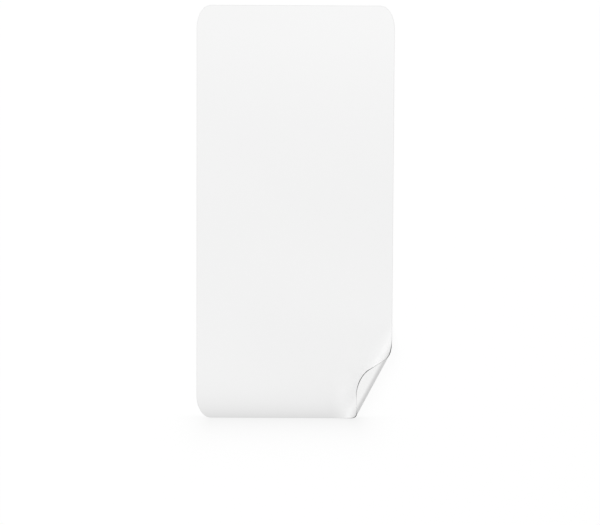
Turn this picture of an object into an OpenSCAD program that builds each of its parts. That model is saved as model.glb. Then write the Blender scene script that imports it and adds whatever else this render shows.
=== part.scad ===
// A phone screen protector: one thin film with four rounded corners.
// It lies flat on its adhesive face, and one lower corner has curled up and over.
// X is the width, +Y points to the top of the film, and +Z is up.
// The origin is the middle of the adhesive face.

/* [Film] */
// Width of the film
film_w = 69; // [60:0.5:90]
// Length of the film
film_l = 144.8; // [125:0.1:200]
// Thickness of the film
film_t = 0.3; // [0.2:0.05:0.6]
// Width that each corner's rounding takes
corner_w = 5; // [3:0.1:8]
// Length that each corner's rounding takes
corner_l = 7.9; // [4:0.1:12]

/* [Curl] */
// Length of film in the curl, from the line where it leaves the flat to its tip
curl_l = 19.3; // [15:0.1:24]
// Angle between the curl's axis and the long side of the film
axis_angle = 28; // [20:0.1:40]
// Angle below the width at which the corner is pulled over
pull_angle = 50.3; // [35:0.1:60]
// Length of film over which the bend tightens from flat to its radius
lead_in = 9.8; // [6:0.1:11]
// Radius of the bend, at the middle of the thickness
bend_r = 2.55; // [2.3:0.05:3.5]
// Length of film over which the bend eases off to the straight flap
lead_out = 2.5; // [1:0.1:3]
// Degrees that the flap has turned over from the flat film
flap_angle = 142; // [130:1:150]

/* [Hidden] */

// Facets in a corner's rounding
corner_steps = 24;
// Rows of facets along the curl
curl_rows = 72;
// Steps that add up the bend's turns
section_steps = 48;
half_w = film_w / 2;
half_l = film_l / 2;

// Plan directions: along the curl's axis, square to it, and along the pull
axis_dir = [sin(axis_angle), cos(axis_angle)];
square_dir = [cos(axis_angle), -sin(axis_angle)];
pull_dir = [cos(pull_angle), -sin(pull_angle)];
pull_reach = pull_dir * square_dir;

// The curled corner's ellipse, before it curls
ellipse_mid = [half_w - corner_w, corner_l - half_l];
corner_tip = ellipse_mid * square_dir
    + norm([corner_w * square_dir[0], corner_l * square_dir[1]]);
curl_start = corner_tip - curl_l * pull_reach;
// Distances past that start at which the bend begins to ease off, and at which it ends
flap_turn = flap_angle * PI / 180 * bend_r;
ease_start = flap_turn + lead_in * 2 / 3 - lead_out / 2;
bend_end = ease_start + lead_out;

// Degrees of bend at a distance past the start of the curl
function bend(d) = (180 / PI) / bend_r * (
    d < lead_in ? pow(d, 3) / (3 * lead_in * lead_in)
    : d < ease_start ? d - lead_in * 2 / 3
    : d < bend_end ? flap_turn - pow(bend_end - d, 2) / (2 * lead_out)
    : flap_turn);

// Place of the film's middle surface at a distance d: [along the pull, above the flat].
// The bend is summed in short steps, and the flap past it is straight.
function bent_section(d) = let (
        step = d / section_steps,
        turns = [for (i = [0.5 : section_steps]) bend(i * step)],
        ones = [for (turn = turns) 1]
    ) step * [[for (turn = turns) cos(turn)] * ones, [for (turn = turns) sin(turn)] * ones];
function section(d) = d <= bend_end ? bent_section(d)
    : bent_section(bend_end) + (d - bend_end) * [cos(flap_angle), sin(flap_angle)];

// Unit normal of the film at a distance d, towards its outer face
function film_normal(d) = let (
        flat_part = pull_reach * cos(bend(d)),
        upright_part = sin(bend(d)),
        size = norm([flat_part, upright_part])
    ) [-square_dir[0] * upright_part, -square_dir[1] * upright_part, flat_part] / size;

// Where a line square_dir * s + axis_dir * v leaves the curled corner's ellipse,
// on its upper side (side = 1) or its lower side (side = -1)
function ellipse_cut(s, side) = let (
        from = square_dir * s - ellipse_mid,
        aa = pow(axis_dir[0] / corner_w, 2) + pow(axis_dir[1] / corner_l, 2),
        bb = axis_dir[0] * from[0] / pow(corner_w, 2)
            + axis_dir[1] * from[1] / pow(corner_l, 2),
        cc = pow(from[0] / corner_w, 2) + pow(from[1] / corner_l, 2) - 1
    ) (side * sqrt(max(0, bb * bb - aa * cc)) - bb) / aa;

// Ends of that line on the film: on the right side or its rounding, and on the lower
// end or its rounding
function right_end(s) = let (v = (half_w - square_dir[0] * s) / axis_dir[0])
    square_dir[1] * s + axis_dir[1] * v >= ellipse_mid[1] ? v : ellipse_cut(s, 1);
function lower_end(s) = let (v = (-half_l - square_dir[1] * s) / axis_dir[1])
    square_dir[0] * s + axis_dir[0] * v <= ellipse_mid[0] ? v : ellipse_cut(s, -1);

// A point of the film before it curls
function flat_point(s, v) = square_dir * s + axis_dir * v;

// The same point after it curls, on the outer face (face = 1) or the adhesive face (face = -1)
function curled_point(d, v, face) = let (
        flat_at = flat_point(curl_start + d * pull_reach, v),
        place = section(d),
        plan = flat_at + (place[0] - d) * pull_dir
    ) [plan[0], plan[1], film_t / 2 + place[1]] + face * film_t / 2 * film_normal(d);

// Rows crowd towards the tip, where its rounding turns fastest
function row_distance(i) = curl_l * (1 - pow(1 - i / curl_rows, 2));

// Points of a rounded corner, from one side to the next
function corner_arc(centre, from_angle) = [for (i = [0 : corner_steps])
    let (turn = from_angle + 90 * i / corner_steps)
    centre + [corner_w * cos(turn), corner_l * sin(turn)]];

// The film up to the line where the curl starts
module flat_film() {
    outline = concat(
        [flat_point(curl_start, right_end(curl_start))],
        corner_arc([half_w - corner_w, half_l - corner_l], 0),
        corner_arc([corner_w - half_w, half_l - corner_l], 90),
        corner_arc([corner_w - half_w, corner_l - half_l], 180),
        [flat_point(curl_start, lower_end(curl_start))]
    );
    linear_extrude(film_t) polygon(outline);
}

// The rest of the corner, pulled up and over towards the middle of the film.
// Each row has four points: lower and upper end, on the adhesive and the outer face.
module curled_corner() {
    rows = [for (i = [0 : curl_rows - 1]) let (
            d = row_distance(i),
            s = curl_start + d * pull_reach,
            low = lower_end(s),
            high = right_end(s)
        ) each [
            curled_point(d, low, -1), curled_point(d, high, -1),
            curled_point(d, high, 1), curled_point(d, low, 1)
        ]];
    tip_v = ellipse_cut(corner_tip, 1);
    tip = len(rows);
    last = tip - 4;
    points = concat(rows, [curled_point(curl_l, tip_v, -1), curled_point(curl_l, tip_v, 1)]);
    strips = [for (i = [0 : curl_rows - 2], k = [0 : 3]) let (
            a = 4 * i + k,
            b = 4 * i + (k + 1) % 4
        ) each [[a, b + 4, b], [a, a + 4, b + 4]]];
    end_faces = [
        [0, 1, 2, 3],
        [last, tip, last + 1],
        [last + 2, tip + 1, last + 3],
        [last + 1, tip + 1, last + 2], [last + 1, tip, tip + 1],
        [last + 3, tip, last], [last + 3, tip + 1, tip]
    ];
    polyhedron(points, concat(strips, end_faces));
}

// The whole protector, one piece
module film() {
    color("whitesmoke") union() {
        flat_film();
        curled_corner();
    }
}

film();
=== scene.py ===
"""A phone screen protector that lies on its adhesive face, with one lower corner curled over.

The sheet is worked out in millimetres and turned into metres when its mesh is made.
X is its width, +Y points to its top, and +Z is up, out of its outer face.
"""

import math

import bpy
import numpy as np
from mathutils import Matrix, Vector


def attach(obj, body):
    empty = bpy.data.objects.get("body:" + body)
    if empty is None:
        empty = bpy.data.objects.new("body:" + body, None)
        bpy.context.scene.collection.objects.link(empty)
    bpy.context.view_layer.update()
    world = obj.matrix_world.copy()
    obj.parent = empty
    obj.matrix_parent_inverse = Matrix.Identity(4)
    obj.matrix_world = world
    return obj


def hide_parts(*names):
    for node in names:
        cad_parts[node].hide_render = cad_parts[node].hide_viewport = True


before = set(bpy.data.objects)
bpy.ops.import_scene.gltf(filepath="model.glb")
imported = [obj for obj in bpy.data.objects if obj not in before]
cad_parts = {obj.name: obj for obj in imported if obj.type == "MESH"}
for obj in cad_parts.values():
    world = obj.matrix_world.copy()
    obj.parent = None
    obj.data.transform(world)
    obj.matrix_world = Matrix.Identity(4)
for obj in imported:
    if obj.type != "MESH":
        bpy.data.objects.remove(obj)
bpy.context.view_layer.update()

MM = 0.001

# The sheet, as in the part's source
FILM_W = 69.0
FILM_L = 144.8
FILM_T = 0.3
CORNER_W = 5.0
CORNER_L = 7.9
HALF_W = FILM_W / 2
HALF_L = FILM_L / 2

# Its curl: the corner is pulled over along one direction and bends about an axis
CURL_L = 19.3
AXIS_ANGLE = math.radians(28)
PULL_ANGLE = math.radians(50.3)
LEAD_IN = 9.8
BEND_R = 2.55
LEAD_OUT = 2.5
FLAP_ANGLE = math.radians(142)

# Small bevels on both sides of the cut edge
BEVEL = 0.04
BEVEL_STEPS = 3

# Density of the mesh
FLAT_ROW_STEP = 0.5
CURL_ROW_STEP = 0.1
TIP_REACH = 6.0
TIP_ROWS = 36
COLUMNS = 14

AXIS_DIR = np.array([math.sin(AXIS_ANGLE), math.cos(AXIS_ANGLE)])
SQUARE_DIR = np.array([math.cos(AXIS_ANGLE), -math.sin(AXIS_ANGLE)])
PULL_DIR = np.array([math.cos(PULL_ANGLE), -math.sin(PULL_ANGLE)])
PULL_REACH = float(PULL_DIR @ SQUARE_DIR)


def tip_distance():
    """How far the sheet's curled corner reaches from its middle, square to the axis."""
    middle = np.array([HALF_W - CORNER_W, CORNER_L - HALF_L])
    rounding = np.array([CORNER_W, CORNER_L]) * SQUARE_DIR
    return float(middle @ SQUARE_DIR + np.linalg.norm(rounding))


TIP = tip_distance()
CURL_START = TIP - CURL_L * PULL_REACH

# Distances past that start at which the bend begins to ease off, and at which it ends
FLAP_TURN = FLAP_ANGLE * BEND_R
EASE_START = FLAP_TURN + LEAD_IN * 2 / 3 - LEAD_OUT / 2
BEND_END = EASE_START + LEAD_OUT


def bend(distance):
    """Angle that the film has turned at a distance past the start of the curl."""
    lead = distance**3 / (3 * LEAD_IN**2)
    arc = distance - LEAD_IN * 2 / 3
    ease = FLAP_TURN - np.maximum(BEND_END - distance, 0) ** 2 / (2 * LEAD_OUT)
    return np.where(distance < LEAD_IN, lead, np.where(distance < EASE_START, arc, ease)) / BEND_R


# Steps that add up the bend's turns along the curl
SECTION_STEPS = 4000
SECTION_AT = np.linspace(0, CURL_L, SECTION_STEPS + 1)


def section_sums():
    """The film's reach along the pull and its rise, at each distance in SECTION_AT."""
    step = CURL_L / SECTION_STEPS
    turn = bend(SECTION_AT[:-1] + step / 2)
    reach = np.concatenate([[0], np.cumsum(np.cos(turn)) * step])
    rise = np.concatenate([[0], np.cumsum(np.sin(turn)) * step])
    return reach, rise


SECTION_REACH, SECTION_RISE = section_sums()


def curl(flat):
    """Where points of the flat sheet go on its middle surface, with their frames.

    Returns places, film normals, and the two 3-D directions in which a step along the
    pull and a step along the axis carry a point.
    """
    flat = np.asarray(flat, float)
    distance = np.maximum((flat @ SQUARE_DIR - CURL_START) / PULL_REACH, 0)
    turn = bend(distance)
    reach = np.interp(distance, SECTION_AT, SECTION_REACH)
    rise = np.interp(distance, SECTION_AT, SECTION_RISE)
    plan = flat + (reach - distance)[:, None] * PULL_DIR
    places = np.column_stack([plan, FILM_T / 2 + rise])
    along_pull = np.column_stack([np.outer(np.cos(turn), PULL_DIR), np.sin(turn)])
    along_axis = np.tile(np.append(AXIS_DIR, 0), (len(flat), 1))
    normals = np.cross(along_pull, along_axis)
    normals /= np.linalg.norm(normals, axis=1)[:, None]
    return places, normals, along_pull, along_axis


def row_end(s, side, inset):
    """Flat point where the row at s leaves the outline, at its upper (1) or lower (-1) end."""
    half_w = HALF_W - inset
    half_l = HALF_L - inset
    to_side = (side * half_w - SQUARE_DIR[0] * s) / AXIS_DIR[0]
    to_end = (side * half_l - SQUARE_DIR[1] * s) / AXIS_DIR[1]
    along = side * min(side * to_side, side * to_end)
    point = SQUARE_DIR * s + AXIS_DIR * along
    middle = np.array([HALF_W - CORNER_W, HALF_L - CORNER_L])
    if abs(point[0]) <= middle[0] or abs(point[1]) <= middle[1]:
        return point
    middle = np.copysign(middle, point)
    radii = np.array([CORNER_W - inset, CORNER_L - inset])
    start = (SQUARE_DIR * s - middle) / radii
    step = AXIS_DIR / radii
    a = step @ step
    b = step @ start
    c = start @ start - 1
    along = (side * math.sqrt(max(b * b - a * c, 0)) - b) / a
    return SQUARE_DIR * s + AXIS_DIR * along


def outward(flat):
    """Unit direction, in the flat sheet, that points out of the outline at its points."""
    middle = np.array([HALF_W - CORNER_W, HALF_L - CORNER_L])
    past = np.abs(flat) - middle
    radii = np.array([CORNER_W, CORNER_L]) - BEVEL
    in_corner = (past > 0).all(axis=1)
    round_out = np.sign(flat) * past / radii**2
    on_side = past[:, 0] - CORNER_W > past[:, 1] - CORNER_L
    straight = np.zeros_like(flat)
    straight[:, 0] = np.where(on_side, np.sign(flat[:, 0]), 0)
    straight[:, 1] = np.where(on_side, 0, np.sign(flat[:, 1]))
    out = np.where(in_corner[:, None], round_out, straight)
    return out / np.linalg.norm(out, axis=1)[:, None]


def row_places():
    """Places of the rows, square to the axis, from the upper left tip to the curled one."""
    inset_middle = np.array([HALF_W - CORNER_W, CORNER_L - HALF_L])
    inset_rounding = (np.array([CORNER_W, CORNER_L]) - BEVEL) * SQUARE_DIR
    reach = float(inset_middle @ SQUARE_DIR + np.linalg.norm(inset_rounding))
    crowding = TIP_REACH * np.linspace(0, 1, TIP_ROWS + 1) ** 2
    flat_rows = int((CURL_START + reach - TIP_REACH) / FLAT_ROW_STEP)
    curl_rows = int((reach - TIP_REACH - CURL_START) / CURL_ROW_STEP)
    return np.concatenate([
        crowding[:-1] - reach,
        np.linspace(TIP_REACH - reach, CURL_START, flat_rows, endpoint=False),
        np.linspace(CURL_START, reach - TIP_REACH, curl_rows, endpoint=False),
        reach - crowding[::-1],
    ])


def sheet_grid():
    """Flat points of the grid inside the bevel: one at each tip, and rows between them."""
    rows = row_places()
    first_tip = row_end(rows[0], 1, BEVEL)
    last_tip = row_end(rows[-1], 1, BEVEL)
    share = (1 - np.cos(np.linspace(0, math.pi, COLUMNS + 1))) / 2
    grid = []
    for s in rows[1:-1]:
        low = row_end(s, -1, BEVEL)
        high = row_end(s, 1, BEVEL)
        grid.append(low + np.outer(share, high - low))
    return first_tip, np.array(grid), last_tip


def rim_directions(flat, normal, along_pull, along_axis):
    """Directions out of the cut edge: in the flat sheet, and in 3-D, square to the rim."""
    flat_out = outward(flat)
    flat_run = np.column_stack([-flat_out[:, 1], flat_out[:, 0]])
    pull_share = flat_run @ SQUARE_DIR / PULL_REACH
    axis_share = (flat_run - np.outer(pull_share, PULL_DIR)) @ AXIS_DIR
    run = pull_share[:, None] * along_pull + axis_share[:, None] * along_axis
    out = np.cross(run, normal)
    return flat_out, out / np.linalg.norm(out, axis=1)[:, None]


def edge_rings():
    """Rings of the cut edge between the two faces, as (out, up, tilt of the normal)."""
    turns = np.linspace(0, math.pi / 2, BEVEL_STEPS + 1)
    upper = [(BEVEL * math.sin(t), FILM_T / 2 - BEVEL * (1 - math.cos(t)), t) for t in turns]
    lower = [(reach, -rise, math.pi - t) for reach, rise, t in reversed(upper)]
    return upper[1:] + lower[:-1]


# Zones of the mesh, which are also its material slots
OUTER_FACE = 0
ADHESIVE_FACE = 1
CUT_EDGE = 2


def film_mesh():
    """The whole sheet as one closed mesh, with exact normals and its flat places."""
    first_tip, grid, last_tip = sheet_grid()
    row_count, row_size = grid.shape[:2]
    flat = np.vstack([[first_tip], grid.reshape(-1, 2), [last_tip]])
    places, normals, along_pull, along_axis = curl(flat)
    face_size = len(flat)
    last = face_size - 1

    def at(row, column):
        return 1 + row * row_size + column

    lower_side = [at(row, 0) for row in range(row_count)]
    upper_side = [at(row, row_size - 1) for row in range(row_count)]
    rim = [0] + lower_side + [last] + upper_side[::-1]

    rim_normal = normals[rim]
    flat_out, out = rim_directions(flat[rim], rim_normal, along_pull[rim], along_axis[rim])

    vertices = [places + normals * FILM_T / 2, places - normals * FILM_T / 2]
    vertex_normals = [normals, -normals]
    depth = [np.full(face_size, FILM_T), np.zeros(face_size)]
    flat_places = [flat, flat]
    rings = edge_rings()
    for reach, rise, tilt in rings:
        vertices.append(places[rim] + out * reach + rim_normal * rise)
        vertex_normals.append(out * math.sin(tilt) + rim_normal * math.cos(tilt))
        depth.append(np.full(len(rim), FILM_T / 2 + rise))
        flat_places.append(flat[rim] + flat_out * reach)

    faces = []
    zones = []

    def add(zone, *corners):
        faces.append(corners)
        zones.append(zone)

    for row in range(row_count - 1):
        for column in range(row_size - 1):
            corners = (at(row, column), at(row + 1, column),
                       at(row + 1, column + 1), at(row, column + 1))
            add(OUTER_FACE, *corners)
            add(ADHESIVE_FACE, *[face_size + i for i in reversed(corners)])
    for column in range(row_size - 1):
        first = (0, at(0, column), at(0, column + 1))
        final = (last, at(row_count - 1, column + 1), at(row_count - 1, column))
        for corners in (first, final):
            add(OUTER_FACE, *corners)
            add(ADHESIVE_FACE, *[face_size + i for i in reversed(corners)])

    ring_rows = [rim]
    for k in range(len(rings)):
        ring_rows.append([2 * face_size + k * len(rim) + i for i in range(len(rim))])
    ring_rows.append([face_size + i for i in rim])
    for upper, lower in zip(ring_rows, ring_rows[1:]):
        for i in range(len(rim)):
            j = (i + 1) % len(rim)
            add(CUT_EDGE, upper[j], upper[i], lower[i], lower[j])

    mesh = bpy.data.meshes.new("film_sheet")
    mesh.from_pydata((np.vstack(vertices) * MM).tolist(), [], faces)
    mesh.polygons.foreach_set("material_index", zones)
    mesh.polygons.foreach_set("use_smooth", [True] * len(faces))
    place = mesh.attributes.new("flat_place", "FLOAT_VECTOR", "POINT")
    flat_all = np.column_stack([np.vstack(flat_places), np.concatenate(depth)]) * MM
    place.data.foreach_set("vector", flat_all.astype(np.float32).ravel())
    mesh.normals_split_custom_set_from_vertices(np.vstack(vertex_normals).tolist())
    mesh.validate(clean_customdata=False)
    return mesh


# Range in which nearly all of a noise's values lie, and the height of a full bump
NOISE_SPAN = (0.3, 0.7)
BUMP_HEIGHT = 0.02 * MM


class Nodes:
    """Short calls for a material's or a world's nodes."""

    def __init__(self, owner):
        owner.use_nodes = True
        self.tree = owner.node_tree
        self.tree.nodes.clear()

    def add(self, kind, links=None, **settings):
        """A node with its settings; links give its sockets a value or another's output."""
        node = self.tree.nodes.new(kind)
        for name, value in settings.items():
            setattr(node, name, value)
        for socket, value in (links or {}).items():
            self.join(node.inputs[socket], value)
        return node

    def join(self, socket, value):
        if isinstance(value, bpy.types.NodeSocket):
            self.tree.links.new(value, socket)
        else:
            socket.default_value = value

    def math(self, operation, first, second=0.0):
        return self.add("ShaderNodeMath", {0: first, 1: second}, operation=operation).outputs[0]

    def ramp(self, value, from_range, to_range, smooth=False):
        """A value carried from one range to another and held at its ends."""
        node = self.add(
            "ShaderNodeMapRange",
            {"Value": value, "From Min": from_range[0], "From Max": from_range[1],
             "To Min": to_range[0], "To Max": to_range[1]},
            interpolation_type="SMOOTHSTEP" if smooth else "LINEAR",
        )
        return node.outputs["Result"]

    def fading(self, distance, depth, reach):
        """A value that starts at the depth and fades out over some times the reach."""
        fade = self.math("EXPONENT", self.math("MULTIPLY", distance, -1 / reach))
        return self.math("MULTIPLY", fade, depth)

    def noise(self, place, scale, detail=2.0):
        return self.add(
            "ShaderNodeTexNoise", {"Vector": place, "Scale": scale, "Detail": detail}
        ).outputs["Fac"]

    def clouds(self, place, scale, tones, detail=2.0):
        """A value that wanders between two tones from place to place."""
        return self.ramp(self.noise(place, scale, detail), NOISE_SPAN, tones)

    def bump(self, height, strength):
        links = {"Strength": strength, "Distance": BUMP_HEIGHT, "Height": height}
        return self.add("ShaderNodeBump", links).outputs["Normal"]

    def grey(self, value):
        return self.add(
            "ShaderNodeCombineColor", {"Red": value, "Green": value, "Blue": value}
        ).outputs["Color"]

    def flat_place(self):
        """Place on the flat sheet: across it, along it, and up through its thickness."""
        return self.add("ShaderNodeAttribute", attribute_name="flat_place").outputs["Vector"]

    def split(self, vector):
        return self.add("ShaderNodeSeparateXYZ", {"Vector": vector}).outputs

    def past_start(self, flat_place):
        """Distance along the film past the start of the curl, in millimetres."""
        part = self.split(flat_place)
        across = self.math("MULTIPLY", part["X"], SQUARE_DIR[0] / MM / PULL_REACH)
        along = self.math("MULTIPLY", part["Y"], SQUARE_DIR[1] / MM / PULL_REACH)
        square = self.math("ADD", across, along)
        return self.math("SUBTRACT", square, CURL_START / PULL_REACH)

    def steps(self, value, stops):
        """A value carried through the given (place, tone) stops, straight between them."""
        first, last = stops[0][0], stops[-1][0]
        node = self.add("ShaderNodeValToRGB", {"Fac": self.ramp(value, (first, last), (0.0, 1.0))})
        elements = node.color_ramp.elements
        for place, tone in stops[1:-1]:
            elements.new((place - first) / (last - first))
        for element, (place, tone) in zip(elements, stops):
            element.color = (tone, tone, tone, 1)
        return node.outputs["Color"]

    def seen(self):
        """1 for rays from the camera and for those that gloss and glass send out, else 0."""
        path = self.add("ShaderNodeLightPath").outputs
        direct = self.math("MAXIMUM", path["Is Camera Ray"], path["Is Glossy Ray"])
        return self.math("MAXIMUM", direct, path["Is Transmission Ray"])


FACE_GREY = 0.884
FACE_CLOUDS = (0.998 * FACE_GREY, 1.002 * FACE_GREY)
FACE_ROUGHNESS = (0.34, 0.40)
# A painted shade on the lower end, which fades with the distance from that end
LOWER_SHADE_DEPTH = 0.2
LOWER_SHADE_REACH = 4 * MM
# Where the lower end lifts into the curl, the painted shade gives way to a little painted light
LIFT_SPAN = (12 * MM, 21 * MM)
LIFT_FADES = (9 * MM, 15 * MM)
LIFT_LIGHT = 0.045
LIFT_SHADE_SHARE = 0.5
# A touch of painted shade across the middle of the sheet, between these places along it
MIDDLE_SPANS = ((-45 * MM, 5 * MM), (68 * MM, 28 * MM))
MIDDLE_SHADE_DEPTH = 0.017
# Tones inside the curl by the distance past its start: a painted shade where the sheet stands steep
INSIDE_SHADE_TONES = ((8.0, 1.0), (9.2, 0.92), (10.2, 0.86), (11.2, 1.0))


def outer_face_material():
    """Hard-coated plastic: pale, even, with the faint waviness of a thin cast film, and painted
    shade and light in its colour.
    """
    material = bpy.data.materials.new("film_outer_face")
    n = Nodes(material)
    place = n.flat_place()
    cloud = n.clouds(place, 30.0, FACE_CLOUDS)
    from_lower_end = n.math("ADD", n.split(place)["Y"], HALF_L * MM)
    # Painted shade on the lower end
    shade = n.fading(from_lower_end, LOWER_SHADE_DEPTH, LOWER_SHADE_REACH)
    # Less painted shade and a little painted light where the lower end lifts into the curl
    lift = n.math("MULTIPLY", n.ramp(n.split(place)["X"], LIFT_SPAN, (0.0, 1.0), smooth=True),
                  n.ramp(from_lower_end, LIFT_FADES, (1.0, 0.0), smooth=True))
    shade = n.math("MULTIPLY", shade, n.ramp(lift, (0.0, 1.0), (1.0, LIFT_SHADE_SHARE)))
    light = n.math("SUBTRACT", n.ramp(lift, (0.0, 1.0), (1.0, 1.0 + LIFT_LIGHT)), shade)
    # Painted shade across the middle of the sheet
    lower_part = n.ramp(n.split(place)["Y"], MIDDLE_SPANS[0], (0.0, MIDDLE_SHADE_DEPTH), smooth=True)
    upper_part = n.ramp(n.split(place)["Y"], MIDDLE_SPANS[1], (0.0, 1.0), smooth=True)
    light = n.math("SUBTRACT", light, n.math("MULTIPLY", lower_part, upper_part))
    # Painted shade inside the curl where the sheet stands steep
    inside = n.steps(n.past_start(place), INSIDE_SHADE_TONES)
    tone = n.math("MULTIPLY", n.math("MULTIPLY", cloud, light), inside)
    waves = n.noise(place, 120.0, 3.0)
    shader = n.add("ShaderNodeBsdfPrincipled", {
        "Base Color": n.grey(tone),
        "Roughness": n.clouds(place, 60.0, FACE_ROUGHNESS),
        "Specular IOR Level": 0.4,
        "Normal": n.bump(waves, 0.05),
    })
    n.add("ShaderNodeOutputMaterial", {"Surface": shader.outputs["BSDF"]})
    return material


ADHESIVE_CLOUDS = (0.982, 0.996)
ADHESIVE_ROUGHNESS = (0.42, 0.50)
# The painted shade on the fold's dark side gives way to the flap between these distances past the
# start
FOLD_SHADE_SPAN = (12.6, 14.9)
FOLD_SHADE_TONE = 0.7


def adhesive_face_material():
    """Clear silicone adhesive over the same film: a touch lighter, softer in its gloss, with a
    painted shade on the fold.
    """
    material = bpy.data.materials.new("film_adhesive_face")
    n = Nodes(material)
    place = n.flat_place()
    cloud = n.clouds(place, 45.0, ADHESIVE_CLOUDS)
    # Painted shade on the fold's dark side
    fold = n.ramp(n.past_start(place), FOLD_SHADE_SPAN, (FOLD_SHADE_TONE, 1.0), smooth=True)
    tone = n.math("MULTIPLY", cloud, fold)
    orange_peel = n.noise(place, 900.0)
    shader = n.add("ShaderNodeBsdfPrincipled", {
        "Base Color": n.grey(tone),
        "Roughness": n.clouds(place, 80.0, ADHESIVE_ROUGHNESS),
        "Specular IOR Level": 0.35,
        "Normal": n.bump(orange_peel, 0.08),
    })
    n.add("ShaderNodeOutputMaterial", {"Surface": shader.outputs["BSDF"]})
    return material


# Tones of the cut edge at distances past the start of the curl: its own dark tone with painted
# shade and light on it, darkest where the edge stands upright, lightest up the sides of the flap,
# and dark again round its tip. The right side also has a painted paler stretch where it begins to
# stand up.
LOWER_EDGE_SHADE_TONES = (
    (4.5, 0.13),
    (7.0, 0.02),
    (10.8, 0.02),
    (14.4, 0.84),
    (16.4, 0.70),
    (19.2, 0.08),
)
RIGHT_EDGE_SHADE_TONES = (
    (4.5, 0.13),
    (6.0, 0.60),
    (7.6, 0.58),
    (9.0, 0.02),
    (10.2, 0.02),
    (12.6, 0.54),
    (14.2, 0.70),
    (16.0, 0.62),
    (17.8, 0.08),
)
# Distances from the lower end between which the one gives way to the other
EDGE_TONES_MEET = (1 * MM, 6 * MM)
# Added to them through the thickness: the adhesive's line, then the core, and the upper bevel
ADHESIVE_TO_CORE = (0.09 * MM, 0.12 * MM)
LAYER_TONES = (-0.02, 0.03)
BEVEL_AT = (0.255 * MM, 0.285 * MM)
BEVEL_LIGHT = 0.2
STREAK_TONES = (-0.015, 0.015)
DARKEST_EDGE = 0.02


def cut_edge_material():
    """The die-cut edge: dark, with the film's core over the thinner line of adhesive, and painted
    shade and light along the rim.
    """
    material = bpy.data.materials.new("film_cut_edge")
    n = Nodes(material)
    place = n.flat_place()
    depth = n.split(place)["Z"]
    core = n.ramp(depth, ADHESIVE_TO_CORE, LAYER_TONES, smooth=True)
    bevel = n.ramp(depth, BEVEL_AT, (0.0, BEVEL_LIGHT), smooth=True)
    streak = n.clouds(place, 2500.0, STREAK_TONES, detail=1.0)
    layers = n.math("ADD", n.math("ADD", core, bevel), streak)
    from_lower_end = n.math("ADD", n.split(place)["Y"], HALF_L * MM)
    right = n.ramp(from_lower_end, EDGE_TONES_MEET, (0.0, 1.0))
    lower = n.math("SUBTRACT", 1.0, right)
    past_start = n.past_start(place)
    # Painted shade and light along the rim, over the edge's own dark tone
    right_tone = n.math("MULTIPLY", n.steps(past_start, RIGHT_EDGE_SHADE_TONES), right)
    lower_tone = n.math("MULTIPLY", n.steps(past_start, LOWER_EDGE_SHADE_TONES), lower)
    tone = n.math("ADD", n.math("ADD", right_tone, lower_tone), layers)
    tone = n.math("MAXIMUM", tone, DARKEST_EDGE)
    shader = n.add("ShaderNodeBsdfPrincipled", {
        "Base Color": n.grey(tone),
        "Roughness": 0.45,
        "Specular IOR Level": 0.2,
    })
    n.add("ShaderNodeOutputMaterial", {"Surface": shader.outputs["BSDF"]})
    return material


FLOOR_SIZE = 8.0
FLOOR_DROP = 0.02 * MM
FLOOR_BOUNCE = 0.5
# Near the sheet the floor shows as a glow and a share of its lit tone, further out as white
FLOOR_SHADE_SHARE = 0.12
FLOOR_GLOW = 0.884
FLOOR_FADES = (0.2, 0.6)
# A painted soft shadow below the lower end: its depth, its reach, and the stretch of the end that it
# lies below
CONTACT_SHADE_DEPTH = 0.105
CONTACT_SHADE_REACH = 4.7 * MM
CONTACT_SHADE_SPAN = (-29.2 * MM, 21.5 * MM)
# It fades this many times faster above the end, beside the curl
CONTACT_SHADE_CUT = 12.0


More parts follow.
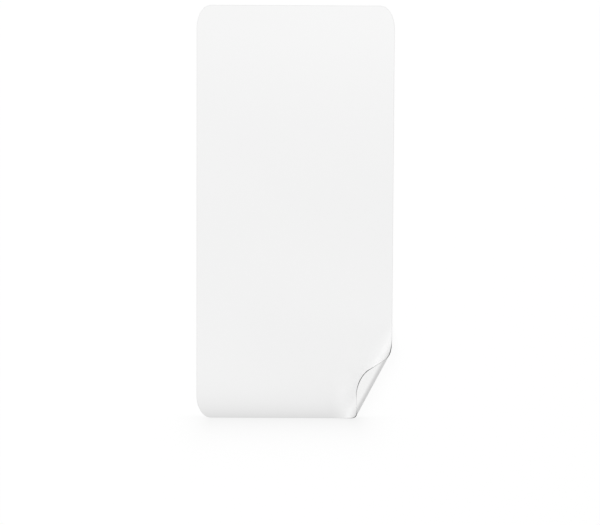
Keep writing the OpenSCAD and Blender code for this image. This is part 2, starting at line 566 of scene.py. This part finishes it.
def make_floor():
    """A white floor that shows as white, keeps a share of the shadows on it, and has a painted soft
    shadow below the sheet's lower end.
    """
    half = FLOOR_SIZE / 2
    corners = [(-half, -half), (half, -half), (half, half), (-half, half)]
    mesh = bpy.data.meshes.new("floor")
    mesh.from_pydata([(x, y, -FLOOR_DROP) for x, y in corners], [], [(0, 1, 2, 3)])
    floor = bpy.data.objects.new("floor", mesh)
    bpy.context.scene.collection.objects.link(floor)
    material = bpy.data.materials.new("floor_white")
    n = Nodes(material)
    bounce = n.add("ShaderNodeBsdfDiffuse", {"Color": [FLOOR_BOUNCE] * 3 + [1]})
    centre = n.add("ShaderNodeTexCoord").outputs["Object"]
    from_centre = n.add("ShaderNodeVectorMath", {0: centre}, operation="LENGTH").outputs["Value"]
    near = n.ramp(from_centre, FLOOR_FADES, (1.0, 0.0), smooth=True)
    share = n.grey(n.math("MULTIPLY", near, FLOOR_SHADE_SHARE))
    shadow = n.add("ShaderNodeBsdfDiffuse", {"Color": share})
    # A painted soft shadow below the lower end, fading with the distance from it
    place = n.split(centre)
    beside = n.math("MAXIMUM", n.math("SUBTRACT", CONTACT_SHADE_SPAN[0], place["X"]),
                    n.math("SUBTRACT", place["X"], CONTACT_SHADE_SPAN[1]))
    beside = n.math("MAXIMUM", beside, 0.0)
    above = n.math("ADD", place["Y"], HALF_L * MM)
    below = n.math("MAXIMUM", n.math("MULTIPLY", above, -1.0),
                   n.math("MULTIPLY", above, CONTACT_SHADE_CUT))
    distance = n.math("SQRT", n.math("ADD", n.math("MULTIPLY", beside, beside),
                                     n.math("MULTIPLY", below, below)))
    painted_shadow = n.fading(distance, CONTACT_SHADE_DEPTH, CONTACT_SHADE_REACH)
    strength = n.math("SUBTRACT", n.ramp(near, (0.0, 1.0), (1.0, FLOOR_GLOW)), painted_shadow)
    glow = n.add("ShaderNodeEmission", {"Color": [1, 1, 1, 1], "Strength": strength})
    shown = n.add("ShaderNodeAddShader", {0: shadow.outputs[0], 1: glow.outputs[0]})
    mixed = n.add("ShaderNodeMixShader", {
        0: n.seen(), 1: bounce.outputs[0], 2: shown.outputs[0],
    })
    n.add("ShaderNodeOutputMaterial", {"Surface": mixed.outputs[0]})
    mesh.materials.append(material)


# Light from all round, where a strength of 1 shows as white
WORLD_LIGHT = 0.7


def make_world():
    """Even pale light from all round, which shows as white."""
    world = bpy.data.worlds.new("studio")
    bpy.context.scene.world = world
    n = Nodes(world)
    strength = n.ramp(n.seen(), (0.0, 1.0), (WORLD_LIGHT, 1.0))
    background = n.add("ShaderNodeBackground", {"Color": [1, 1, 1, 1], "Strength": strength})
    n.add("ShaderNodeOutputWorld", {"Surface": background.outputs[0]})


def add_lamp(name, azimuth, elevation, distance, width, height, light):
    """A soft lamp that faces the sheet; azimuth turns from +X towards +Y.

    A white card that faces it gets that share of a full white from it alone.
    """
    data = bpy.data.lights.new(name, "AREA")
    data.shape = "RECTANGLE"
    data.size = width
    data.size_y = height
    data.energy = light * (math.pi * distance) ** 2
    lamp = bpy.data.objects.new(name, data)
    bpy.context.scene.collection.objects.link(lamp)
    turn = math.radians(azimuth)
    lift = math.radians(elevation)
    towards = Vector((
        math.cos(lift) * math.cos(turn), math.cos(lift) * math.sin(turn), math.sin(lift),
    ))
    lamp.location = towards * distance
    lamp.rotation_euler = towards.to_track_quat("Z", "Y").to_euler()
    lamp.visible_camera = False
    return lamp


CAMERA_LENS = 50.0
CAMERA_SENSOR = 36.0
CAMERA_PITCH = math.radians(-1.89)
CAMERA_ROLL = math.radians(0.27)
CAMERA_OFFSET = Vector((1.81, -17.3, 293.0))


def make_camera():
    """Nearly straight above the sheet, as in the photograph."""
    data = bpy.data.cameras.new("camera")
    data.lens = CAMERA_LENS
    data.sensor_width = CAMERA_SENSOR
    data.sensor_fit = "HORIZONTAL"
    data.clip_start = 0.01
    data.clip_end = 50.0
    camera = bpy.data.objects.new("camera", data)
    bpy.context.scene.collection.objects.link(camera)
    turn = Matrix.Rotation(CAMERA_PITCH, 3, "X") @ Matrix.Rotation(CAMERA_ROLL, 3, "Z")
    place = turn @ CAMERA_OFFSET + Vector((0, 0, FILM_T))
    camera.matrix_world = Matrix.Translation(place * MM) @ turn.to_4x4()
    bpy.context.scene.camera = camera


mesh = film_mesh()
for make in (outer_face_material, adhesive_face_material, cut_edge_material):
    mesh.materials.append(make())
film = bpy.data.objects.new("film_sheet", mesh)
bpy.context.scene.collection.objects.link(film)
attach(film, "root")
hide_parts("film")

make_camera()
make_floor()
make_world()
add_lamp("left", azimuth=180, elevation=45, distance=1.2, width=0.6, height=0.6, light=0.265)
add_lamp("upper_right", azimuth=62, elevation=60, distance=0.8, width=0.4, height=0.4, light=0.157)
low_side = add_lamp("low_side", azimuth=-28, elevation=5, distance=1.2, width=0.6, height=0.12,
                    light=0.147)
low_side.visible_glossy = False
bpy.context.scene.view_settings.view_transform = "Standard"
